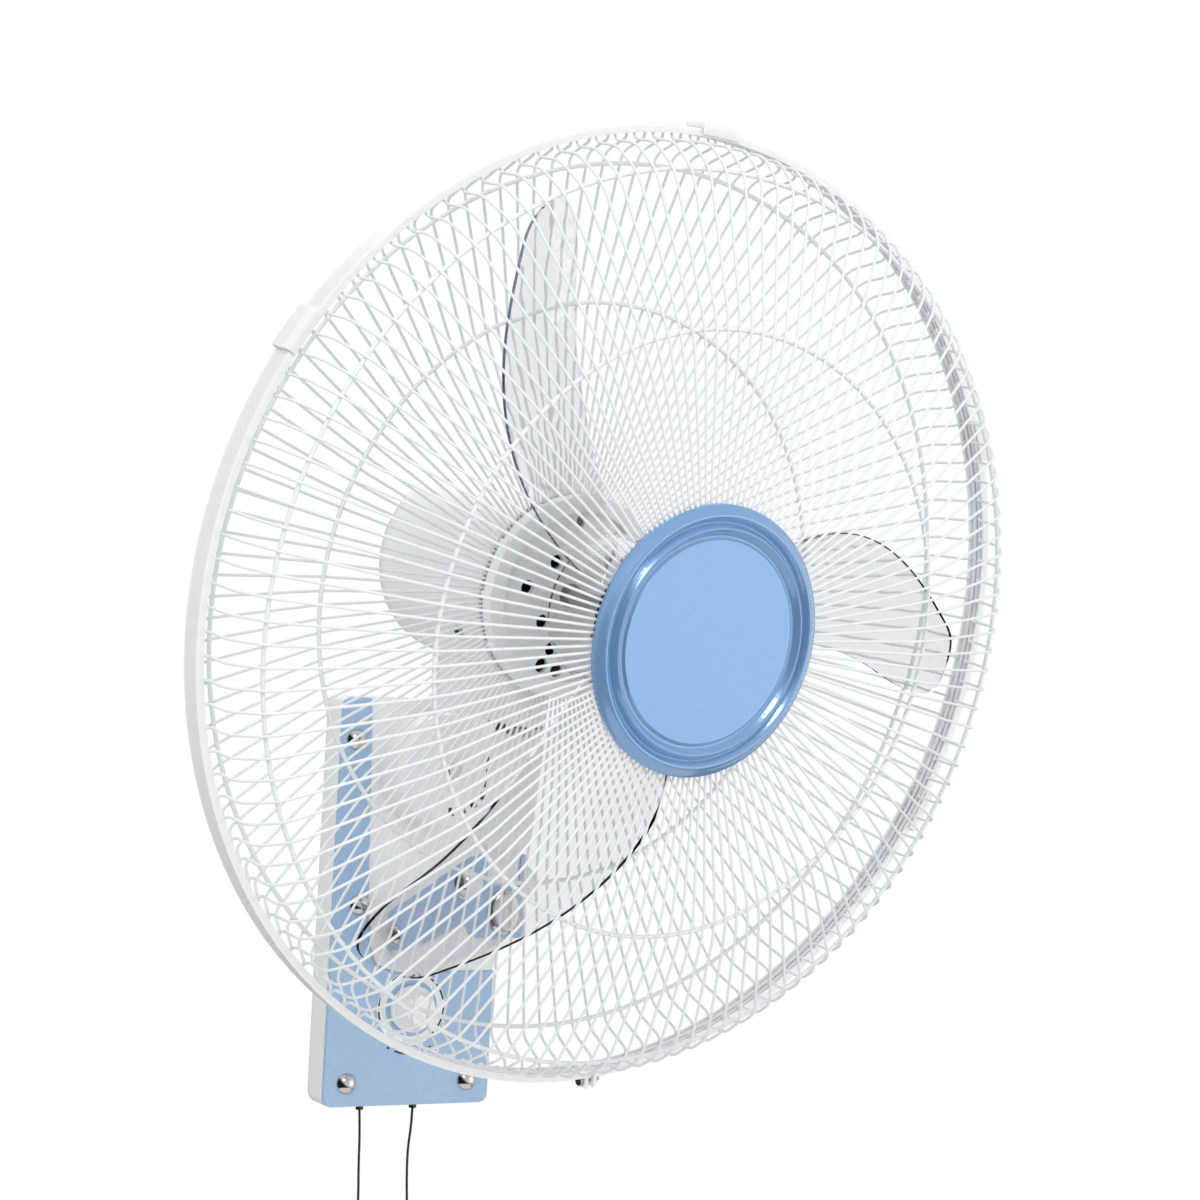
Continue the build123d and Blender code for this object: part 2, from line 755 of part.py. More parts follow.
with BuildPart() as arm_cover:
    with BuildSketch(Plane.YZ):
        with BuildLine():
            Polyline(
                ahead(base_depth + foot_thickness + seat, root_top + 1),
                ahead(panel_front + 4, root_top + 1.6),
                ahead(nose_front, nose_top),
                ahead(nose_front, nose_bottom),
                ahead(nose_front - 6, nose_bottom),
                ahead(pivot_depth, nose_bottom + 7),
                ahead(pivot_depth - 13, nose_bottom + 2.5),
                ahead(panel_front + 17, root_bottom + 1.5),
                ahead(base_depth + foot_thickness + seat, root_bottom),
                close=True,
            )
        make_face()
    extrude(amount=arm_width / 2, both=True)
    fillet(arm_cover.edges().filter_by(Axis.Z).group_by(Axis.Y)[0], nose_round)
    add(core_room.part, mode=Mode.SUBTRACT)
    with BuildSketch(Plane.YZ):
        with BuildLine():
            Polyline(
                ahead(pivot_depth, pivot_height),
                ahead(pivot_depth, nose_top + 20),
                ahead(nose_front + 1, nose_top + 20),
                ahead(nose_front + 1, pivot_height),
                close=True,
            )
        make_face()
    extrude(amount=slot_half, both=True, mode=Mode.SUBTRACT)
    with BuildSketch(tilt_axis_plane):
        Circle(cap_radius + 1 + seat)
    extrude(amount=arm_width, both=True, mode=Mode.SUBTRACT)
    with BuildSketch(Plane.YZ):
        with Locations(ahead(panel_front + root_screw_ahead, root_screw_z)):
            Circle(panel_screw_radius + fit)
    extrude(amount=arm_width, both=True, mode=Mode.SUBTRACT)
    with BuildSketch(wall.offset(nose_front)):
        with Locations((0, nose_cap_z)):
            Ellipse(nose_cap_width / 2 + seat, nose_cap_height / 2 + seat)
    extrude(amount=-3 * arm_cover_thickness, mode=Mode.SUBTRACT)

# ---- Chrome fittings of the arm ----

cap_ball = (cap_radius**2 + cap_height**2) / (2 * cap_height)
cap_seat = arm_width / 2 + 0.6 + seat
with BuildPart() as dome_cap:
    with BuildSketch(Plane.XZ):
        with BuildLine():
            Line((0, 0), (cap_radius, 0))
            RadiusArc((cap_radius, 0), (0, cap_height), -cap_ball)
            Line((0, cap_height), (0, 0))
        make_face()
    revolve(axis=Axis.Z)

left_of_arm = Plane(origin=pivot, x_dir=(0, -1, 0), z_dir=(-1, 0, 0)).offset(cap_seat)
right_of_arm = Plane(origin=pivot, x_dir=(0, 1, 0), z_dir=(1, 0, 0)).offset(cap_seat)
with BuildPart(left_of_arm, right_of_arm) as tilt_bolt:
    add(dome_cap.part)
    with BuildSketch(left_of_arm):
        Circle(bolt_radius)
    extrude(amount=seat / 2 - 2 * cap_seat)

root_point = (0, -(panel_front + root_screw_ahead), root_screw_z)
root_seat = arm_width / 2 + seat
left_root = Plane(origin=root_point, x_dir=(0, -1, 0), z_dir=(-1, 0, 0)).offset(root_seat)
right_root = Plane(origin=root_point, x_dir=(0, 1, 0), z_dir=(1, 0, 0)).offset(root_seat)
with BuildPart(left_root, right_root) as arm_root_screws:
    add(dome_cap.part)
    with BuildSketch(left_root, right_root):
        Circle(panel_screw_radius)
    extrude(amount=-12)

with BuildPart() as nose_cap:
    with BuildSketch(wall.offset(core_front + seat)):
        with Locations((0, nose_cap_z)):
            Ellipse(nose_cap_width / 2, nose_cap_height / 2)
    extrude(amount=arm_cover_thickness + nose_cap_proud)
    fillet(nose_cap.faces().sort_by(Axis.Y)[0].edges(), nose_cap_proud - 0.6)

with BuildPart() as arm_foot_screws:
    with BuildSketch(wall.offset(base_depth - base_wall - seat)):
        with Locations(foot_screw_places):
            Circle(4)
    extrude(amount=-2.5)
    with BuildSketch(wall.offset(base_depth - base_wall - seat)):
        with Locations(foot_screw_places):
            Circle(foot_screw_radius)
    extrude(amount=base_wall + foot_thickness - 1.5)

# ---- Neck: white casting that tilts on the bolt and holds the pan post ----

lug_plane = Plane(origin=pivot, x_dir=(0, 1, 0), z_dir=(1, 0, 0))
neck_top = neck_rise - head_room
neck_length = neck_top - neck_start
with BuildPart() as neck:
    with BuildSketch(lug_plane):
        Circle(lug_radius)
    extrude(amount=lug_width / 2, both=True)
    with BuildSketch(tilt_frame):
        Rectangle(lug_width, neck_web)
    extrude(amount=neck_start + 2)
    with BuildSketch(tilt_frame.offset(neck_start)):
        with Locations((0, -neck_offset)):
            Circle(neck_radius)
    extrude(amount=neck_length)
    chamfer(neck.faces().sort_by(Axis(pivot, tilt_frame.z_dir))[-1].edges(), 1)
    with BuildSketch(tilt_frame.offset(neck_top)):
        with Locations((0, -neck_offset)):
            Circle(post_pin_radius + running + bush_wall + running)
    extrude(amount=-(bush_length + post_below_bush + 2), mode=Mode.SUBTRACT)
    with BuildSketch(lug_plane):
        Circle(bolt_radius + running)
    extrude(amount=lug_width, both=True, mode=Mode.SUBTRACT)

with BuildPart() as pan_bush:
    with BuildSketch(tilt_frame.offset(neck_top)):
        with Locations((0, -neck_offset)):
            Circle(post_pin_radius + running + bush_wall)
            Circle(post_pin_radius + running, mode=Mode.SUBTRACT)
    extrude(amount=-bush_length)

# ---- Swing yoke: steel arm fixed on the neck, whose slot the crank pin runs in ----

slot_half_width = crank_pin_radius + yoke_play
slot_near = crank_distance - crank_throw
slot_far = crank_distance + crank_throw
yoke_top = neck_top + yoke_thickness
with BuildPart() as swing_yoke:
    with BuildSketch(tilt_frame.offset(neck_top + seat)):
        with Locations((0, -neck_offset)):
            Circle(neck_radius)
            with Locations((0, slot_far / 2)):
                Rectangle(yoke_width, slot_far)
            with Locations((0, slot_far)):
                Circle(yoke_width / 2)
            with Locations((0, (slot_near + slot_far) / 2)):
                SlotCenterToCenter(slot_far - slot_near, 2 * slot_half_width, rotation=90, mode=Mode.SUBTRACT)
            Circle(post_pin_radius + fit, mode=Mode.SUBTRACT)
    extrude(amount=yoke_thickness - seat)

# ---- Pan post: steel pin pressed into the motor's boss, turning in the bush ----

boss_bottom = yoke_top + 3 * seat
post_bottom = neck_top - bush_length - post_below_bush
post_top = neck_rise - motor_radius - 0.5
boss_radius = 9.0
clip_thickness = 1.2
crank_top = boss_bottom + 6.0
swing_bottom = crank_top + 0.8
swing_top = swing_bottom + swing_motor_height
with BuildPart() as pan_post:
    with BuildSketch(below_head(post_bottom)):
        Circle(post_pin_radius)
    extrude(amount=post_top - post_bottom)
    with BuildSketch(below_head(post_bottom + 1)):
        Circle(post_pin_radius + 1)
        Circle(post_pin_radius - 1, mode=Mode.SUBTRACT)
    extrude(amount=clip_thickness + 2 * running, mode=Mode.SUBTRACT)

with BuildPart() as post_circlip:
    with BuildSketch(below_head(post_bottom + 1 + running)):
        Circle(post_pin_radius + bush_wall - fit)
        Circle(post_pin_radius - 1 + running, mode=Mode.SUBTRACT)
    extrude(amount=clip_thickness)

# ---- Motor housing: pale front cover with vents and the guard's seat, grey rear shell ----

boss_front = motor_front + boss_length
shoulder_front = motor_front + shoulder_thickness
face_front = motor_front + face_step
face_back = face_front - face_thickness
boss_inner = cover_boss_radius - 3
skirt_inner = motor_radius - motor_wall
sleeve_length = 6.0
front_bearing_back = face_back - 1 - bearing_width
with BuildPart() as motor_front_cover:
    with BuildSketch(head_side):
        with BuildLine():
            Polyline(
                (bearing_inner + 2, face_front),
                (boss_inner, face_front),
                (boss_inner, boss_front),
                (cover_boss_radius, boss_front),
                (cover_boss_radius, shoulder_front),
                (shoulder_radius, shoulder_front),
                (shoulder_radius, motor_front),
                (motor_radius, motor_front - 3),
                (motor_radius, motor_split),
                (skirt_inner - running, motor_split),
                (skirt_inner - running, motor_split - sleeve_length),
                (skirt_inner - motor_wall, motor_split - sleeve_length),
                (skirt_inner - motor_wall, motor_front - 2),
                (boss_inner, motor_front),
                (boss_inner, face_back),
                (bearing_outer + 2.5, face_back),
                (bearing_outer + 2.5, front_bearing_back),
                (bearing_outer + running, front_bearing_back),
                (bearing_outer + running, face_back - 1),
                (bearing_inner + 2, face_back - 1),
                close=True,
            )
        make_face()
    revolve(axis=head_axis)
    with BuildSketch(head.offset(face_front)):
        for vent_r, vent_angle in vent_spots:
            with PolarLocations(vent_r, 1, start_angle=vent_angle):
                Circle(vent_radius)
    extrude(amount=-2 * (face_front - face_back), mode=Mode.SUBTRACT)
    with BuildSketch(head.offset(stack_front + seat)):
        with PolarLocations(skirt_inner - 6.5, 4, start_angle=45):
            Circle(3.5)
    extrude(amount=face_back - stack_front - seat + 1)
    with BuildSketch(head.offset(stack_front + seat)):
        with PolarLocations(skirt_inner - 6.5, 4, start_angle=45):
            Circle(1.5 + running)
    extrude(amount=16, mode=Mode.SUBTRACT)
    for screw_angle in housing_screw_angles:
        with BuildSketch(motor_side(screw_angle, housing_screw_z)):
            Circle(housing_screw_radius + running)
        extrude(amount=-4 * motor_wall, mode=Mode.SUBTRACT)

rear_wall_in = motor_back + motor_wall
rear_bearing_front = rear_wall_in + 18
with BuildPart() as motor_rear_housing:
    with BuildSketch(head_side):
        with BuildLine():
            Polyline(
                (skirt_inner, motor_split - seat),
                (motor_radius, motor_split - seat),
                (motor_radius, motor_back + motor_back_round),
            )
            RadiusArc((motor_radius, motor_back + motor_back_round),
                      (motor_radius - motor_back_round, motor_back), motor_back_round)
            Polyline(
                (motor_radius - motor_back_round, motor_back),
                (0, motor_back),
                (0, rear_wall_in),
                (bearing_outer + running, rear_wall_in),
                (bearing_outer + running, rear_bearing_front),
                (bearing_outer + 2.5, rear_bearing_front),
                (bearing_outer + 2.5, rear_wall_in),
                (motor_radius - motor_back_round, rear_wall_in),
            )
            RadiusArc((motor_radius - motor_back_round, rear_wall_in),
                      (skirt_inner, motor_back + motor_back_round), -(motor_back_round - motor_wall))
            Line((skirt_inner, motor_back + motor_back_round), (skirt_inner, motor_split - seat))
        make_face()
    revolve(axis=head_axis)
    with BuildSketch(below_head(boss_bottom)):
        Circle(boss_radius)
    extrude(amount=neck_rise - skirt_inner - boss_bottom)
    with BuildSketch(below_head(swing_top + seat)):
        with Locations((0, crank_distance)):
            RectangleRounded(34, 34, 6)
    extrude(amount=motor_radius / 4)
    with BuildSketch(head.offset(motor_split - seat)):
        Circle(motor_radius + seat)
    extrude(amount=2 * boss_radius, mode=Mode.SUBTRACT)
    with BuildSketch(head.offset(motor_split - seat)):
        Circle(skirt_inner)
    extrude(amount=-(stack_length + 20), mode=Mode.SUBTRACT)
    with BuildSketch(below_head(boss_bottom)):
        Circle(post_pin_radius)
    extrude(amount=post_top - boss_bottom, mode=Mode.SUBTRACT)
    for screw_angle in housing_screw_angles:
        with BuildSketch(motor_side(screw_angle, housing_screw_z)):
            Circle(housing_screw_radius + fit)
        extrude(amount=-2 * motor_wall, mode=Mode.SUBTRACT)
    with BuildSketch(head.offset(motor_back - seat)):
        with PolarLocations(rear_vent_circle, rear_vents):
            Rectangle(rear_vent_length, rear_vent_width)
    extrude(amount=2 * motor_wall, mode=Mode.SUBTRACT)

# ---- Stator, windings, bolts and bearings inside the motor ----

stack_back = stack_front - stack_length
bolt_circle = skirt_inner - 6.5
with BuildPart() as stator_core:
    with BuildSketch(head.offset(stack_front)):
        Circle(skirt_inner - 2 * fit)
        Circle(stack_bore, mode=Mode.SUBTRACT)
        with PolarLocations(bolt_circle, 4, start_angle=45):
            Circle(1.5 + fit, mode=Mode.SUBTRACT)
        with PolarLocations(stack_bore + 5.5, 16, start_angle=11.25):
            Rectangle(7, 4, mode=Mode.SUBTRACT)
        with PolarLocations(stack_bore + 1, 16, start_angle=11.25):
            Rectangle(4, 1.6, mode=Mode.SUBTRACT)
    extrude(amount=-stack_length)

with BuildPart() as stator_windings:
    for winding_start in (stack_front + seat, stack_back - winding_length - seat):
        with BuildSketch(head.offset(winding_start)):
            Circle(stack_bore + 9.5)
            Circle(stack_bore + 1.5, mode=Mode.SUBTRACT)
        extrude(amount=winding_length)
    with BuildSketch(head.offset(stack_front + 2 * seat)):
        with PolarLocations(stack_bore + 5.5, 16, start_angle=11.25):
            Rectangle(6.4, 3.4)
    extrude(amount=-(stack_length + 4 * seat))

with BuildPart() as motor_bolts:
    with BuildSketch(head.offset(stack_back - seat)):
        with PolarLocations(bolt_circle, 4, start_angle=45):
            RegularPolygon(2.8, 6)
    extrude(amount=-2.2)
    with BuildSketch(head.offset(stack_back - seat)):
        with PolarLocations(bolt_circle, 4, start_angle=45):
            Circle(1.5)
    extrude(amount=stack_length + 14)

with BuildPart() as housing_screws:
    for screw_angle in housing_screw_angles:
        with BuildSketch(motor_side(screw_angle, housing_screw_z)):
            Circle(2.6)
        extrude(amount=1.6)
        with BuildSketch(motor_side(screw_angle, housing_screw_z)):
            Circle(housing_screw_radius)
        extrude(amount=-(2 * motor_wall + 1))


with BuildPart() as motor_bearings:
    for bearing_front in (face_back - 1 - running, rear_bearing_front - running):
        with BuildSketch(head.offset(bearing_front)):
            Circle(bearing_outer)
            Circle(bearing_inner + running, mode=Mode.SUBTRACT)
        extrude(amount=-bearing_width)
        with BuildSketch(head.offset(bearing_front)):
            Circle(bearing_outer - 2)
            Circle(bearing_inner + 2, mode=Mode.SUBTRACT)
        extrude(amount=-1, mode=Mode.SUBTRACT)

# ---- Swing motor under the head, with its crank and the cover over both ----

pin_bottom = neck_top + 3 * seat
with BuildPart() as swing_motor:
    with BuildSketch(below_head(swing_bottom)):
        with Locations((0, crank_distance)):
            Circle(swing_motor_radius)
            Circle(swing_shaft_radius + running, mode=Mode.SUBTRACT)
    extrude(amount=swing_motor_height)

chin_bottom = yoke_top + 1.2
with BuildPart() as swing_cover:
    with BuildSketch(below_head(chin_bottom)) as chin_outline:
        with BuildLine():
            CenterArc((0, 0), boss_radius + 1.5 + chin_wall, 0, 360)
            CenterArc((0, crank_distance), crank_throw + crank_pin_radius + 5 + chin_wall, 0, 360)
        make_hull()
    extrude(amount=neck_rise - chin_bottom - motor_radius / 2)
    with BuildSketch(below_head(chin_bottom)):
        with BuildLine():
            CenterArc((0, 0), boss_radius + 1.5, 0, 360)
            CenterArc((0, crank_distance), crank_throw + crank_pin_radius + 5, 0, 360)
        make_hull()
    extrude(amount=neck_rise, mode=Mode.SUBTRACT)
    with BuildSketch(head):
        Circle(motor_radius + seat)
    extrude(amount=motor_back - 10, mode=Mode.SUBTRACT)

crank_angle = crank_ratio * rest_pan
pin_x = crank_throw * sin(radians(crank_angle))
pin_y = crank_distance - crank_throw * cos(radians(crank_angle)) + 2 * crank_throw * cos(radians(crank_angle))
with BuildPart() as swing_crank:
    with BuildSketch(below_head(crank_top - crank_thickness)):
        with BuildLine():
            CenterArc((0, crank_distance), swing_shaft_radius + 2.5, 0, 360)
            CenterArc((pin_x, pin_y), crank_pin_radius + 1.5, 0, 360)
        make_hull()
    extrude(amount=crank_thickness)
    with BuildSketch(below_head(crank_top)):
        with Locations((0, crank_distance)):
            Circle(swing_shaft_radius)
    extrude(amount=swing_motor_height - 1)
    with BuildSketch(below_head(pin_bottom)):
        with Locations((pin_x, pin_y)):
            Circle(crank_pin_radius)
    extrude(amount=crank_top - pin_bottom)

# ---- Guard ----

belt_radius = guard_radius + rim_step
belt_inner = belt_radius - belt_wall
ring_radius = ring_diameter / 2
wire_radius = wire_diameter / 2
rim_ring = belt_inner - ring_radius - seat
front_rim_z = belt_front - belt_wall - wire_diameter - ring_radius - 3 * seat
rear_rim_z = belt_back + belt_wall + wire_diameter + ring_radius + 3 * seat
front_wire_z = belt_front - belt_wall - wire_radius - 2 * seat
rear_wire_z = belt_back + belt_wall + wire_radius + 2 * seat
ring_stand = wire_radius + ring_radius + seat


def wire(route):
    """One guard wire along its route in the plane of the fan axis, from the rim inwards."""
    with BuildPart() as one_wire:
        with BuildSketch(Plane(origin=route.line @ 0, z_dir=route.line % 0)):
            Circle(wire_radius)
        sweep(path=route.line)
    return one_wire


def inside(route, share, side):
    """Distance out and forward of a ring that lies inside the guard at a share of a wire's length."""
    place = route.line @ share
    along = route.line % share
    return (place.X - side * along.Z * ring_stand, place.Z + side * along.X * ring_stand)


front_wire_end = (front_wire_end_radius, badge_back - fit - wire_radius)
rear_wire_end = (cover_boss_radius + rear_wire_end_in, shoulder_front + seat + wire_radius)
with BuildLine(Plane.XZ) as front_route:
    FilletPolyline(
        (rim_ring + ring_radius / 2, front_wire_z),
        (guard_radius, front_wire_z),
        (guard_radius, front_bulge_z - 15),
        (guard_radius - front_bulge_in, front_bulge_z),
        front_knee,
        front_wire_end,
        radius=[3, 14, 20, 80],
    )
with BuildLine(Plane.XZ) as rear_route:
    FilletPolyline(
        (rim_ring + ring_radius / 2, rear_wire_z),
        (guard_radius, rear_wire_z),
        (guard_radius - rear_bulge_in, rear_bulge_z),
        rear_knee,
        rear_wire_end,
        radius=[3, 10, 60],
    )
front_wire = wire(front_route)
rear_wire = wire(rear_route)

with BuildPart(head) as front_guard_wires:
    with PolarLocations(0, front_wires, start_angle=90):
        add(front_wire.part)

with BuildPart(head) as rear_guard_wires:
    with PolarLocations(0, rear_wires, start_angle=90):
        add(rear_wire.part)

front_rings = [(rim_ring, front_rim_z), inside(front_route, 0.18, 1), inside(front_route, 0.56, 1)]
with BuildPart() as front_guard_rings:
    with BuildSketch(head_side):
        with Locations(front_rings):
            Circle(ring_radius)
    revolve(axis=head_axis)

rear_rings = [(rim_ring, rear_rim_z)] + [inside(rear_route, share, -1) for share in (0.14, 0.5, 0.99)]
with BuildPart() as rear_guard_rings:
    with BuildSketch(head_side):
        with Locations(rear_rings):
            Circle(ring_radius)
    revolve(axis=head_axis)

belt_middle = (belt_front + belt_back) / 2
clamp_face = spoke(clamp_angle)
with BuildPart() as guard_belt:
    with BuildSketch(head_side):
        with BuildLine():
            Polyline(
                (belt_radius, belt_front),
                (belt_radius - belt_lip, belt_front),
                (belt_radius - belt_lip, belt_front - belt_wall),
                (belt_inner, belt_front - belt_wall),
                (belt_inner, belt_back + belt_wall),
                (belt_radius - belt_lip, belt_back + belt_wall),
                (belt_radius - belt_lip, belt_back),
                (belt_radius, belt_back),
                close=True,
            )
        make_face()
    revolve(axis=head_axis)
    with BuildSketch(clamp_face):
        with Locations((belt_radius + ear_height / 2 - belt_wall / 2, belt_middle)):
            Rectangle(ear_height + belt_wall, ear_width)
    extrude(amount=belt_gap / 2 + ear_thickness, both=True)
    with BuildSketch(clamp_face):
        with Locations((belt_radius, belt_middle)):
            Rectangle(4 * ear_height, 2 * ear_width)
    extrude(amount=belt_gap / 2, both=True, mode=Mode.SUBTRACT)
    with BuildSketch(clamp_face):
        with Locations((belt_radius + ear_height / 2, belt_middle)):
            Circle(clamp_screw_radius + fit)
    extrude(amount=2 * ear_height, both=True, mode=Mode.SUBTRACT)

with BuildPart() as belt_clips:
    for clip_angle in clip_angles:
        with BuildSketch(spoke(clip_angle - clip_span / 2)):
            with BuildLine():
                Polyline(
                    (belt_radius + seat, belt_front + seat),
                    (belt_radius - belt_lip + 1, belt_front + seat),
                    (belt_radius - belt_lip + 1, belt_front + 1.4),
                    (belt_radius + 2, belt_front + 1.4),
                    (belt_radius + clip_proud, belt_front - 2),
                    (belt_radius + clip_proud, belt_back + 2),
                    (belt_radius + 2, belt_back - 1.4),
                    (belt_radius - belt_lip + 1, belt_back - 1.4),
                    (belt_radius - belt_lip + 1, belt_back - seat),
                    (belt_radius + seat, belt_back - seat),
                    close=True,
                )
            make_face()
        revolve(axis=head_axis, revolution_arc=clip_span)

ear_outside = belt_gap / 2 + ear_thickness
with BuildPart() as belt_clamp_screw:
    with BuildSketch(clamp_face.offset(ear_outside)):
        with Locations((belt_radius + ear_height / 2, belt_middle)):
            Circle(clamp_head_radius)
    extrude(amount=1.6)
    with BuildSketch(clamp_face.offset(-ear_outside)):
        with Locations((belt_radius + ear_height / 2, belt_middle)):
            RegularPolygon(clamp_head_radius, 6)
    extrude(amount=-2)
    with BuildSketch(clamp_face.offset(ear_outside)):
        with Locations((belt_radius + ear_height / 2, belt_middle)):
            Circle(clamp_screw_radius)
    extrude(amount=-(2 * ear_outside + 4))

nut_back = rear_rings[-1][1] + ring_radius + seat
with BuildPart() as guard_ring_nut:
    with BuildSketch(head.offset(nut_back)):
        Circle(shoulder_radius)
        Circle(cover_boss_radius + running, mode=Mode.SUBTRACT)
    extrude(amount=boss_front - nut_back)
    with BuildSketch(head.offset(nut_back)):
        with PolarLocations(shoulder_radius, 12):
            Circle(1.6, mode=Mode.ADD)
    extrude(amount=boss_front - nut_back)

# ---- Badge: blue disc with two ridges, clamped over the ends of the front wires ----

plate_front = front_wire_end[1] - wire_radius - fit
with BuildPart() as badge:
    with BuildSketch(head_side):
        with BuildLine():
            Polyline((0, badge_back), (badge_radius, badge_back), (badge_radius, badge_back + badge_rim))
            Spline(
                (badge_radius, badge_back + badge_rim),
                (badge_radius - 2.4, badge_back + 3.2),
                (badge_radius - 5.4, badge_back + 4.7),
                (badge_radius - 8.1, badge_back + 2.2),
                (badge_radius - 10.8, badge_back + 5.2),
                (badge_radius - 13.4, badge_back + 2.7),
                (badge_radius - 16.0, badge_back + 3.4),
            )
            Polyline(
                (badge_radius - 16.0, badge_back + 3.4),
                (badge_flat, badge_back + 3.8),
                (0, badge_back + 3.8),
                (0, badge_back),
            )
        make_face()
    revolve(axis=head_axis)

with BuildPart() as badge_plate:
    with BuildSketch(head.offset(plate_front - badge_plate_thickness)):
        Circle(badge_plate_radius)
        Circle(nut_radius + 3, mode=Mode.SUBTRACT)
        with PolarLocations(badge_plate_radius - 12, 3, start_angle=30):
            Circle(1.5 + fit, mode=Mode.SUBTRACT)
    extrude(amount=badge_plate_thickness)
    with BuildSketch(head.offset(plate_front)):
        with PolarLocations(badge_plate_radius - 12, 3, start_angle=30):
            Circle(4)
            Circle(1.5 + fit, mode=Mode.SUBTRACT)
    extrude(amount=badge_back - plate_front - seat)

with BuildPart() as badge_screws:
    with BuildSketch(head.offset(plate_front - badge_plate_thickness - seat)):
        with PolarLocations(badge_plate_radius - 12, 3, start_angle=30):
            Circle(3)
    extrude(amount=-2)
    with BuildSketch(head.offset(plate_front - badge_plate_thickness - seat)):
        with PolarLocations(badge_plate_radius - 12, 3, start_angle=30):
            Circle(1.5)
    extrude(amount=badge_back + seat - plate_front + badge_plate_thickness)

# ---- Rotor: shaft, laminated core, drive pin, clear fan blade and its nut ----

shaft_back = rear_bearing_front - bearing_width - 2
with BuildPart() as motor_shaft:
    with BuildSketch(head.offset(shaft_back)):
        Circle(shaft_radius)
    extrude(amount=shaft_front - shaft_back)
    chamfer(motor_shaft.faces().sort_by(head_axis)[-1].edges(), 0.8)
    with BuildSketch(Plane(origin=head.from_local_coords((0, 0, drive_pin_z)), x_dir=head.y_dir, z_dir=head.x_dir)):
        Circle(drive_pin_radius)
    extrude(amount=shaft_radius + 1, both=True, mode=Mode.SUBTRACT)

with BuildPart() as rotor_core:
    with BuildSketch(head.offset(stack_front)):
        Circle(stack_bore - air_gap)
        Circle(shaft_radius, mode=Mode.SUBTRACT)
    extrude(amount=-stack_length)

with BuildPart() as drive_pin:
    with BuildSketch(Plane(origin=head.from_local_coords((0, 0, drive_pin_z)), x_dir=head.y_dir, z_dir=head.x_dir)):
        Circle(drive_pin_radius)
    extrude(amount=hub_boss_radius - 0.5, both=True)

# Edges of one blade in its own frame: x out along the blade, y counter-clockwise, z forward.
blade_tip = guard_radius - tip_room
lead_edge = [(34.0, -3.0), (64.8, -4.5), (109.7, -8.6), (148.9, -18.3), (blade_tip - 16.6, -30.9)]
trail_edge = [(blade_tip - 14.2, 8.1), (145.5, 36.3), (98.0, 49.9), (51.9, 39.1), (33.0, 22.0)]
lead_height = 8.0
# Each station: distance out, where the leading edge is, rise per millimetre of chord, chord.
stations = [(30.0, -3.0, 0.86, 40.0), (60.0, -4.4, 0.73, 45.0), (104.0, -8.4, 0.48, 58.0),
            (147.0, -18.0, 0.35, 55.0), (blade_tip - 15.0, -31.0, 0.31, 40.0), (blade_tip + 5.0, -38.0, 0.29, 30.0)]
edge_room = 8.0
camber = 3.0
with BuildPart() as one_blade:
    for out, lead, pitch, chord in stations:
        with BuildSketch(Plane(origin=(out, 0, 0), x_dir=(0, 1, 0), z_dir=(1, 0, 0))):
            low = (lead - edge_room, lead_height - pitch * edge_room)
            high = (lead + chord + edge_room, lead_height + pitch * (chord + edge_room))
            middle = (lead + chord / 2, lead_height + pitch * chord / 2 - camber)
            with BuildLine():
                ThreePointArc(low, middle, high)
                Line(high, (high[0], high[1] + blade_thickness))
                ThreePointArc(
                    (high[0], high[1] + blade_thickness),
                    (middle[0], middle[1] + blade_thickness),
                    (low[0], low[1] + blade_thickness),
                )
                Line((low[0], low[1] + blade_thickness), low)
            make_face()
    loft()
    with BuildSketch():
        with BuildLine():
            Spline(*lead_edge, (blade_tip - 3, -30.0), (blade_tip - 0.5, -14.0), (blade_tip - 6, 0.0), *trail_edge)
            Line(trail_edge[-1], lead_edge[0])
        make_face()
    extrude(amount=80, both=True, mode=Mode.INTERSECT)

pin_slot = drive_pin_radius + fit
with BuildPart(head) as fan_blade:
    with BuildSketch(head_side):
        with BuildLine():
            Polyline(
                (shaft_radius + running, hub_front),
                (hub_radius - 6, hub_front),
                (hub_radius, hub_front - 6),
                (hub_radius, hub_back),
                (hub_radius - hub_wall, hub_back),
                (hub_radius - hub_wall, hub_front - 7),
                (hub_radius - 7, hub_front - hub_wall),
                (hub_boss_radius, hub_front - hub_wall),
                (hub_boss_radius, hub_back),
                (shaft_radius + running, hub_back),
                close=True,
            )
        make_face()
    revolve(axis=head_axis)
    with PolarLocations(0, blade_count, start_angle=blade_phase):
        add(one_blade.part)
    with BuildSketch(head.offset(hub_back)):
        Rectangle(2 * hub_boss_radius + 2, 2 * pin_slot)
    extrude(amount=drive_pin_z - hub_back + pin_slot, mode=Mode.SUBTRACT)

with BuildPart() as blade_nut:
    with BuildSketch(head_side):
        with BuildLine():
            Polyline(
                (shaft_radius, hub_front + seat),
                (nut_radius, hub_front + seat),
                (nut_radius, hub_front + nut_length - 5),
            )
            RadiusArc((nut_radius, hub_front + nut_length - 5), (nut_radius - 5, hub_front + nut_length), -5)
            Polyline(
                (nut_radius - 5, hub_front + nut_length),
                (shaft_radius, hub_front + nut_length),
                (shaft_radius, hub_front + seat),
            )
        make_face()
    revolve(axis=head_axis)

# ---- Export ----

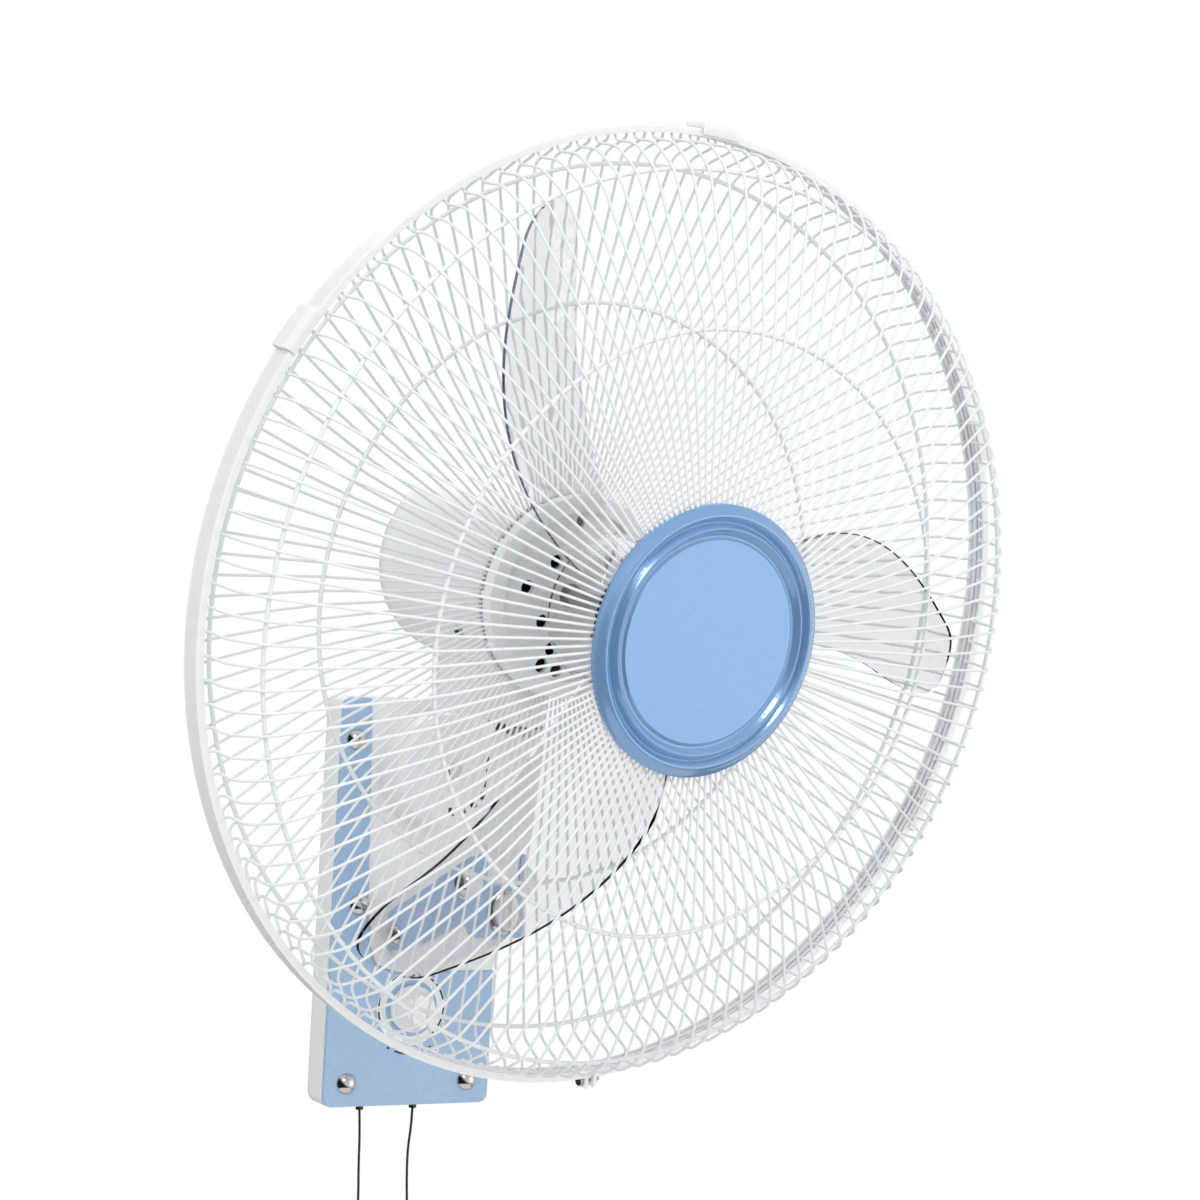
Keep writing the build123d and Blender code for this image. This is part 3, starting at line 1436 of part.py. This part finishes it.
pieces = {
    "wall_bracket": wall_bracket,
    "base_back_cover": base_back_cover,
    "base_housing": base_housing,
    "front_panel": front_panel,
    "panel_screws": panel_screws,
    "coil_housing": coil_housing,
    "coil_screw": coil_screw,
    "speed_coil": speed_coil,
    "terminal_block": terminal_block,
    "capacitor": capacitor,
    "cable_inlet": cable_inlet,
    "timer_case": timer_case,
    "timer_nut": timer_nut,
    "dial_ring": dial_ring,
    "timer_spindle": timer_spindle,
    "control_knob": control_knob,
    "pull_switches": pull_switches,
    "pull_stem_left": pull_stem_left,
    "pull_stem_right": pull_stem_right,
    "pull_cord_left": pull_cord_left,
    "pull_cord_right": pull_cord_right,
    "cord_pull_left": cord_pull_left,
    "cord_pull_right": cord_pull_right,
    "arm": arm,
    "arm_cover": arm_cover,
    "tilt_bolt": tilt_bolt,
    "arm_root_screws": arm_root_screws,
    "nose_cap": nose_cap,
    "arm_foot_screws": arm_foot_screws,
    "neck": neck,
    "pan_bush": pan_bush,
    "swing_yoke": swing_yoke,
    "pan_post": pan_post,
    "post_circlip": post_circlip,
    "motor_front_cover": motor_front_cover,
    "motor_rear_housing": motor_rear_housing,
    "stator_core": stator_core,
    "stator_windings": stator_windings,
    "motor_bolts": motor_bolts,
    "housing_screws": housing_screws,
    "motor_bearings": motor_bearings,
    "swing_motor": swing_motor,
    "swing_cover": swing_cover,
    "swing_crank": swing_crank,
    "front_guard_wires": front_guard_wires,
    "rear_guard_wires": rear_guard_wires,
    "front_guard_rings": front_guard_rings,
    "rear_guard_rings": rear_guard_rings,
    "guard_belt": guard_belt,
    "belt_clips": belt_clips,
    "belt_clamp_screw": belt_clamp_screw,
    "guard_ring_nut": guard_ring_nut,
    "badge": badge,
    "badge_plate": badge_plate,
    "badge_screws": badge_screws,
    "motor_shaft": motor_shaft,
    "rotor_core": rotor_core,
    "drive_pin": drive_pin,
    "fan_blade": fan_blade,
    "blade_nut": blade_nut,
}
os.makedirs("parts", exist_ok=True)
for name, piece in pieces.items():
    piece.part.label = name
    export_step(piece.part, f"parts/{name}.step")
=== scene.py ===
from math import cos, radians, sin

import bmesh
import bpy
from mathutils import Matrix, Vector


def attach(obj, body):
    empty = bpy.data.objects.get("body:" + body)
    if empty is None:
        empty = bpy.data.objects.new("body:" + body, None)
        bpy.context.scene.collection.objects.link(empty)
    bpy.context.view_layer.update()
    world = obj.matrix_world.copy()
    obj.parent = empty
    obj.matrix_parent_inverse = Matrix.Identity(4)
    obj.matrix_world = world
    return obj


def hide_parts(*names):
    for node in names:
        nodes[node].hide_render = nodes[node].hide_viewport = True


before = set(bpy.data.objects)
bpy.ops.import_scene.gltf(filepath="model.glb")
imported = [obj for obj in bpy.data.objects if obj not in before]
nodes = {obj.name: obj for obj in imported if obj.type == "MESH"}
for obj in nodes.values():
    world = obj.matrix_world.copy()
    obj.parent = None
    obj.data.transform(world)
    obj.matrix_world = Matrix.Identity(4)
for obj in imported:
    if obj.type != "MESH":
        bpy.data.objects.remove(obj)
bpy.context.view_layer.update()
scene = bpy.context.scene
scene.view_settings.view_transform = "Standard"


# ---- Camera ----
# A long lens to the left of the fan and level with its middle, leaning by 3 degrees. It sees
# the depth of the guard and the left side of the switch box.
view_turn = radians(28)
view_lean = radians(3)
view_place = (-0.651, -1.4366, 0.1261)
look = Vector((sin(view_turn), cos(view_turn), 0))
level = Vector((cos(view_turn), -sin(view_turn), 0))
across = level * cos(view_lean) + Vector((0, 0, sin(view_lean)))
upright = Vector((0, 0, cos(view_lean))) - level * sin(view_lean)
lens = bpy.data.cameras.new("long_lens")
lens.lens = 90
lens.sensor_width = 36
lens.clip_start = 0.05
camera = bpy.data.objects.new("long_lens", lens)
camera.matrix_world = Matrix((across, upright, -look)).transposed().to_4x4()
camera.location = view_place
scene.collection.objects.link(camera)
scene.camera = camera


# ---- Pull cords and their pulls ----
# Two thin braided cords hang from the switches in the bottom of the box, each with a
# moulded bell that a hand can find in the dark. Polyester braid, dyed dark brown.
def linear(code):
    """The linear colour, with alpha, of an sRGB hex value."""
    parts = [int(code[i:i + 2], 16) / 255 for i in (1, 3, 5)]
    return tuple(p / 12.92 if p <= 0.04045 else ((p + 0.055) / 1.055) ** 2.4 for p in parts) + (1.0,)


def add(tree, kind, settings=None, sockets=None, links=None):
    """Adds a node with its settings, its sockets' values and its links from other outputs."""
    node = tree.nodes.new(kind)
    for name, value in (settings or {}).items():
        setattr(node, name, value)
    for name, value in (sockets or {}).items():
        node.inputs[name].default_value = value
    for name, source in (links or {}).items():
        tree.links.new(source, node.inputs[name])
    return node


def finish_material(name, shader_sockets, build=None):
    """A material whose shader has these values; build adds its pattern and returns links."""
    material = bpy.data.materials.new(name)
    material.use_nodes = True
    tree = material.node_tree
    tree.nodes.clear()
    links = build(tree) if build else {}
    shader = add(tree, "ShaderNodeBsdfPrincipled", {}, shader_sockets, links)
    add(tree, "ShaderNodeOutputMaterial", {}, {}, {"Surface": shader.outputs["BSDF"]})
    return material


def paint(material, *names):
    """Gives a finish to CAD pieces."""
    for name in names:
        for place in nodes[name].material_slots:
            place.material = material


wave_unit = 2 / 6.3  # repeat in metres of straight bands or rings at a Scale of 1, near pi / 10


def waves(tree, repeat, settings, distortion=0.0):
    """Waves that repeat at this distance in metres along an axis of the piece."""
    stretch = 2 if settings.get("bands_direction") == "DIAGONAL" else 1
    spot = add(tree, "ShaderNodeTexCoord")
    wave = add(tree, "ShaderNodeTexWave", settings,
               {"Scale": stretch * wave_unit / repeat, "Distortion": distortion},
               {"Vector": spot.outputs["Object"]})
    return wave.outputs["Fac"]


def blend(tree, value, first, second, low=0.0, high=1.0):
    """A colour that goes from the first to the second as the value goes from low to high."""
    ramp = add(tree, "ShaderNodeValToRGB", {}, {}, {"Fac": value})
    for stop, code, position in zip(ramp.color_ramp.elements, (first, second), (low, high)):
        stop.color = linear(code)
        stop.position = position
    return ramp.outputs["Color"]


def relief(tree, height, strength, distance):
    """The normals of a surface with this height pattern, distance being its depth in metres."""
    bump = add(tree, "ShaderNodeBump", {}, {"Strength": strength, "Distance": distance},
               {"Height": height})
    return bump.outputs["Normal"]


def braid(tree):
    # Slanting bands 6 mm apart stand for the strands; a real plait is finer, about 1.5 mm.
    strands = waves(tree, 0.006, {"bands_direction": "DIAGONAL"}, 0.6)
    return {"Base Color": blend(tree, strands, "#120d0d", "#2b2220"),
            "Normal": relief(tree, strands, 0.5, 0.0002)}


braided_polyester = finish_material("braided_polyester", {"Roughness": 0.75, "Sheen Weight": 0.3}, braid)
cord_size = 0.0013
cord_y = -0.014
cord_routes = {
    "left": [(-19.8, -143.65), (-18.8, -157.0), (-18.7, -171.0), (-17.7, -191.0), (-17.9, -215.0),
             (-18.6, -240.0), (-18.3, -265.0)],
    "right": [(10.3, -143.65), (10.2, -153.0), (8.8, -165.0), (9.1, -180.0), (10.2, -196.0),
              (10.1, -216.0), (9.5, -240.0), (9.8, -265.0)],
}
for side, route in cord_routes.items():
    line = bpy.data.curves.new("cord_" + side, "CURVE")
    line.dimensions = "3D"
    line.bevel_depth = cord_size / 2
    line.bevel_resolution = 4
    line.use_fill_caps = True
    spline = line.splines.new("NURBS")
    spline.points.add(len(route) - 1)
    for point, (x, z) in zip(spline.points, route):
        point.co = (x / 1000, cord_y, z / 1000, 1)
    spline.order_u = 3
    spline.use_endpoint_u = True
    line.resolution_u = 12
    cord = bpy.data.objects.new("braided_cord_" + side, line)
    scene.collection.objects.link(cord)
    line.materials.append(braided_polyester)
    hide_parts("pull_cord_" + side)
    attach(cord, side + "_pull")


# ---- Studio ----
# A pale floor well below the fan and a white surround for the camera and clear plastic. Metal
# and gloss mirror a room that is pale above and on the right and dark low on the left. The
# strongest of three soft lamps stands high on the left.
world = bpy.data.worlds.new("white_surround")
scene.world = world
world.use_nodes = True
sky = world.node_tree
sky.nodes.clear()
ray = add(sky, "ShaderNodeLightPath")
seen = add(sky, "ShaderNodeMath", {"operation": "MAXIMUM"}, {},
           {0: ray.outputs["Is Camera Ray"], 1: ray.outputs["Is Transmission Ray"]})
heading = add(sky, "ShaderNodeTexCoord")
bright_side = (0.6, -0.35, 0.72)
turn = add(sky, "ShaderNodeVectorMath", {"operation": "DOT_PRODUCT"}, {1: bright_side},
           {0: heading.outputs["Generated"]})
reach = add(sky, "ShaderNodeMapRange", {}, {"From Min": -0.1, "From Max": 0.25},
            {"Value": turn.outputs["Value"]})
room = blend(sky, reach.outputs["Result"], "#1c1e21", "#f2f3f5")
glow = add(sky, "ShaderNodeBackground", {}, {"Color": linear("#ffffff"), "Strength": 0.78})
shine = add(sky, "ShaderNodeBackground", {}, {"Strength": 0.9}, {"Color": room})
white = add(sky, "ShaderNodeBackground", {}, {"Color": linear("#ffffff"), "Strength": 1.0})
glossy = add(sky, "ShaderNodeMixShader", {}, {},
             {"Fac": ray.outputs["Is Glossy Ray"], 1: glow.outputs[0], 2: shine.outputs[0]})
shown = add(sky, "ShaderNodeMixShader", {}, {},
            {"Fac": seen.outputs[0], 1: glossy.outputs[0], 2: white.outputs[0]})
add(sky, "ShaderNodeOutputWorld", {}, {}, {"Surface": shown.outputs[0]})

lamps_aim = Vector((0, -0.12, 0.03))
for name, place, size, power in (
    ("key", (-1.3, -2.1, 1.8), 0.9, 26),
    ("fill", (1.85, -1.7, 0.05), 2.0, 10),
    ("back", (0.3, 1.8, 1.6), 1.4, 12),
):
    lamp = bpy.data.lights.new(name, "AREA")
    lamp.size = size
    lamp.energy = power
    holder = bpy.data.objects.new(name, lamp)
    holder.location = place
    holder.rotation_euler = (lamps_aim - Vector(place)).to_track_quat("-Z", "Y").to_euler()
    scene.collection.objects.link(holder)

floor_radius = 0.9
floor_place = (0, -0.15, -0.95)
ground = bmesh.new()
bmesh.ops.create_circle(ground, cap_ends=True, segments=96, radius=floor_radius)
floor_mesh = bpy.data.meshes.new("pale_floor")
ground.to_mesh(floor_mesh)
ground.free()
floor = bpy.data.objects.new("pale_floor", floor_mesh)
floor.location = floor_place
scene.collection.objects.link(floor)
matt_floor = finish_material("pale_matt_floor", {"Base Color": linear("#e9e9e8"), "Roughness": 0.8})
floor_mesh.materials.append(matt_floor)


# ---- Wall box ----
# The switch box hangs on a bent steel plate that is screwed to the wall. Box, back cover and
# coil housing are injection moulded ABS, white, with the faint orange peel of a steel mould.
def noise(tree, size, detail):
    """A cloudy pattern on the piece's own coordinates, with patches of this size in metres."""
    spot = add(tree, "ShaderNodeTexCoord")
    cloud = add(tree, "ShaderNodeTexNoise", {}, {"Scale": 1 / size, "Detail": detail},
                {"Vector": spot.outputs["Object"]})
    return cloud.outputs["Fac"]


def between(tree, value, low, high):
    """The value, brought from 0 to 1 into the range from low to high."""
    ranged = add(tree, "ShaderNodeMapRange", {}, {"To Min": low, "To Max": high}, {"Value": value})
    return ranged.outputs["Result"]


def moulded(grain, depth):
    """The pattern of a moulded surface: its peel's size and depth in metres, and 60 mm flow."""
    def build(tree):
        flow = noise(tree, 0.06, 2.0)
        return {"Roughness": between(tree, flow, 0.27, 0.4),
                "Normal": relief(tree, noise(tree, grain, 3.0), 0.15, depth)}
    return build


white_abs = finish_material("white_moulded_abs", {"Base Color": linear("#f0f1f2"), "IOR": 1.54},
                            moulded(0.0012, 0.00004))
paint(white_abs, "base_housing", "base_back_cover", "coil_housing", "cord_pull_left", "cord_pull_right")


def plated(tree):
    # Zinc plating has soft grey blotches of about 4 mm.
    return {"Roughness": between(tree, noise(tree, 0.004, 4.0), 0.24, 0.42)}


zinc_plate = finish_material("zinc_plated_steel", {"Base Color": linear("#b9bcc0"), "Metallic": 1.0},
                             plated)
paint(zinc_plate, "wall_bracket")


# ---- Front panel ----
# A blue ABS sheet let into the front of the box. The pigment holds a fine pearl, which gives
# the flat face a soft silky light.
def pearl(tree):
    # Pearl flakes are under 0.1 mm; clouds of 1.5 mm stand for them at this distance.
    cloud = noise(tree, 0.0015, 4.0)
    return {"Base Color": blend(tree, cloud, "#9dbbdc", "#a6c2e0", 0.3, 0.7),
            "Normal": relief(tree, cloud, 0.1, 0.00003)}


blue_abs = finish_material("pearl_blue_abs", {"Roughness": 0.34, "IOR": 1.54, "Coat Weight": 0.25,
                                             "Coat Roughness": 0.2}, pearl)
paint(blue_abs, "front_panel")


# ---- Chrome screws ----
# Dome-headed screws, drawn steel caps under bright nickel and chrome. They mirror the dark
# side of the room in a small crescent.
def polished(tree):
    # Polishing leaves a haze in patches of about 3 mm.
    return {"Roughness": between(tree, noise(tree, 0.003, 2.0), 0.06, 0.14)}


bright_chrome = finish_material("bright_chrome", {"Base Color": linear("#d2cfcb"), "Metallic": 1.0},
                                polished)
paint(bright_chrome, "panel_screws", "coil_screw", "arm_root_screws", "tilt_bolt", "nose_cap")


# ---- Timer, dial and knob ----
# A clockwork timer behind the panel, with a white moulded knob on its spindle. Thin printed
# strokes stand round it: a broken ring on the dial, and an arc and two ticks on the panel.
printed_ink = finish_material("printed_dark_ink", {"Base Color": linear("#26303f")},
                              moulded(0.0006, 0.00001))
paint(white_abs, "control_knob", "dial_ring")
paint(zinc_plate, "timer_nut", "timer_spindle")
knob_x, knob_z = 0.0, -0.0895
dial_face_y = -0.0284
panel_face_y = -0.028
ink_width = 0.001
ink_depth = 0.00008
degrees_per_step = 4


def printed_arc(name, radius, start, end, y):
    """A thin printed stroke on a face round the knob, from start to end in degrees."""
    shape = bmesh.new()
    steps = max(3, round(abs(end - start) / degrees_per_step))
    rows = []
    for i in range(steps + 1):
        angle = radians(start + (end - start) * i / steps)
        row = []
        for r in (radius - ink_width / 2, radius + ink_width / 2):
            for depth in (0, ink_depth):
                row.append(shape.verts.new((knob_x + r * cos(angle), y - depth, knob_z + r * sin(angle))))
        rows.append(row)
    for before, after in zip(rows, rows[1:]):
        for i, j in ((0, 1), (1, 3), (3, 2), (2, 0)):
            shape.faces.new((before[i], before[j], after[j], after[i]))
    for row in (rows[0], rows[-1]):
        shape.faces.new((row[0], row[2], row[3], row[1]))
    bmesh.ops.recalc_face_normals(shape, faces=shape.faces)
    mesh = bpy.data.meshes.new(name)
    shape.to_mesh(mesh)
    shape.free()
    stroke = bpy.data.objects.new(name, mesh)
    scene.collection.objects.link(stroke)
    mesh.materials.append(printed_ink)
    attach(stroke, "wall_box")


dash_count = 11
dash_radius = 0.0183
first_dash = -60
dash_step = 24.5
dash_span = 17
for i in range(dash_count):
    dash_start = first_dash + dash_step * i
    printed_arc(f"dial_dash_{i}", dash_radius, dash_start, dash_start + dash_span, dial_face_y)

arc_radius = 0.0235
for name, start, end in (
    ("dial_arc", 250, 290),
    ("dial_tick_left", 238, 242),
    ("dial_tick_right", 298, 302),
):
    printed_arc(name, arc_radius, start, end, panel_face_y)


# ---- Switches and electrical parts inside the box ----
# Black phenolic cases, a wound choke for the speeds, a terminal block and the run capacitor.
# The black stems of the pull switches just show under the box.
black_phenolic = finish_material("black_phenolic", {"Base Color": linear("#1b1b1d"), "IOR": 1.6},
                                 moulded(0.0015, 0.00005))
paint(black_phenolic, "timer_case", "pull_switches", "pull_stem_left", "pull_stem_right", "terminal_block",
      "capacitor", "cable_inlet")


def windings(tree):
    # Enamelled wire of about 0.5 mm, drawn as rings 2 mm apart so that they show.
    turns = waves(tree, 0.002, {"wave_type": "RINGS"})
    return {"Base Color": blend(tree, turns, "#6e3318", "#b8703c")}


enamelled_copper = finish_material("enamelled_copper", {"Metallic": 0.6, "Roughness": 0.35}, windings)
paint(enamelled_copper, "speed_coil", "stator_windings")


# ---- Arm ----
# The arm is moulded in white ABS with its foot, and wears a blue ABS cover over both sides
# and the end. Chrome domes close the tilt bolt and the root screws.
paint(white_abs, "arm", "neck")
paint(blue_abs, "arm_cover")
paint(zinc_plate, "arm_foot_screws")


# ---- Neck and swing drive ----
# The neck holds a steel pan post in an acetal bush; a slotted steel yoke on it guides the
# crank of the little swing motor, so the head walks from side to side.
acetal = finish_material("acetal", {"Base Color": linear("#dcd8c9"), "IOR": 1.48}, moulded(0.002, 0.00003))
paint(acetal, "pan_bush")
paint(zinc_plate, "swing_yoke", "pan_post", "post_circlip", "swing_motor", "swing_crank")


# ---- Motor ----
# Two white ABS shells over a pressed steel stack. The vents in the front shell open on the
# dark windings.
paint(white_abs, "motor_front_cover", "motor_rear_housing", "swing_cover", "guard_ring_nut")
paint(zinc_plate, "housing_screws", "motor_bolts", "motor_bearings")


def laminations(tree):
    # Electrical sheet is 0.5 mm thick; the edges of the stack are drawn as lines 2 mm apart.
    sheets = waves(tree, 0.002, {"bands_direction": "Y"})
    return {"Normal": relief(tree, sheets, 0.4, 0.0002)}


electrical_sheet = finish_material("electrical_sheet", {"Base Color": linear("#55565a"), "Metallic": 0.8,
                                                       "Roughness": 0.5}, laminations)
paint(electrical_sheet, "stator_core", "rotor_core")


# ---- Guard ----
# Spot-welded steel wire under a white powder coat, which rounds every weld and has a faint
# peel. The rim of both halves sits in a moulded belt with clips and one clamp screw; the belt's
# thin milky wall lets some light through.
powder_coat = finish_material("white_powder_coat", {"Base Color": linear("#ebeff0"), "IOR": 1.5},
                              moulded(0.001, 0.00005))
paint(powder_coat, "front_guard_wires", "rear_guard_wires", "front_guard_rings", "rear_guard_rings")
milky_belt = finish_material("milky_white_belt", {"Base Color": linear("#f0f2f3"), "IOR": 1.5,
                                                  "Subsurface Weight": 0.7,
                                                  "Subsurface Radius": (1, 1, 1),
                                                  "Subsurface Scale": 0.003},
                             moulded(0.0012, 0.00004))
paint(milky_belt, "guard_belt", "belt_clips")
paint(zinc_plate, "belt_clamp_screw")


# ---- Badge ----
# A blue ABS disc with two turned ridges, screwed through the front wires to a plate behind
# them. Pearl lacquer under a clear coat shines along each ridge.
def lacquer(tree):
    # Metallic flakes of the lacquer, drawn as specks of 0.4 mm.
    flecks = noise(tree, 0.0004, 2.0)
    return {"Base Color": blend(tree, flecks, "#729cc9", "#7fa8d4", 0.35, 0.65)}


blue_lacquer = finish_material("pearl_blue_lacquer", {"Metallic": 0.3, "Roughness": 0.24, "IOR": 1.5,
                                                     "Coat Weight": 1.0, "Coat Roughness": 0.06}, lacquer)
paint(blue_lacquer, "badge")
paint(white_abs, "badge_plate")
paint(zinc_plate, "badge_screws")


# ---- Rotor ----
# Blades and hub are one moulding in clear AS plastic, polished in the mould. It swallows
# little light through a face and much along an edge, which draws dark violet grey lines.
def flow_marks(tree):
    # The melt leaves waves about 20 mm long, which bend what is seen through the blade.
    return {"Normal": relief(tree, noise(tree, 0.02, 1.0), 0.5, 0.0008)}


clear_as = finish_material("clear_as_plastic", {"Base Color": linear("#f2f2f4"), "Roughness": 0.02,
                                               "IOR": 1.57, "Transmission Weight": 1.0}, flow_marks)
clear_tree = clear_as.node_tree
swallowed = add(clear_tree, "ShaderNodeVolumeAbsorption", {},
                {"Color": linear("#a2a2bf"), "Density": 45.0})
clear_tree.links.new(swallowed.outputs["Volume"], clear_tree.nodes["Material Output"].inputs["Volume"])
paint(clear_as, "fan_blade")
paint(white_abs, "blade_nut")
paint(zinc_plate, "motor_shaft", "drive_pin")
